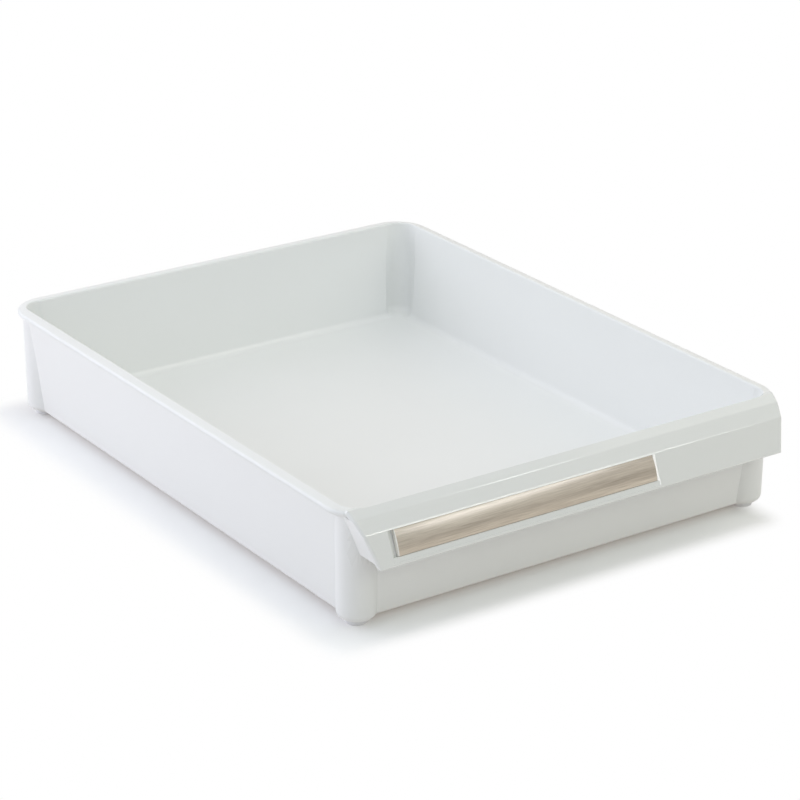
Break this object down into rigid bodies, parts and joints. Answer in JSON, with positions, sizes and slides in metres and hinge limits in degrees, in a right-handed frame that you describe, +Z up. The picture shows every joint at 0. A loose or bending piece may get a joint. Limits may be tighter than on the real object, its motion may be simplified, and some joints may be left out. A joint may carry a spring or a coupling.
{
  "type": "stackable drawer box",
  "caption": "Shallow rectangular drawer tray with leaning walls, corner posts on soft feet, a flat rim and a fold-over pull lip with a wooden insert.",
  "frame": {"origin": "centre of the bounding box's footprint, at table level", "axes": "+X to the right seen from the pull lip, +Y from the pull lip to the back wall, +Z up out of the open tray"},
  "size_m": [0.26, 0.341, 0.0606],
  "materials": {
    "tray_plastic": "satin inside, glossier on the pull lip",
    "insert_wood": "fine straight grain along its length, satin",
    "tape_foam": "matte",
    "foot_rubber": "matte"
  },
  "bodies": {
    "root": {"tray": "tray_plastic", "handle_insert": "insert_wood", "insert_tape": "tape_foam", "foot_front_left": "foot_rubber", "foot_front_right": "foot_rubber", "foot_back_left": "foot_rubber", "foot_back_right": "foot_rubber"}
  },
  "joints": []
}
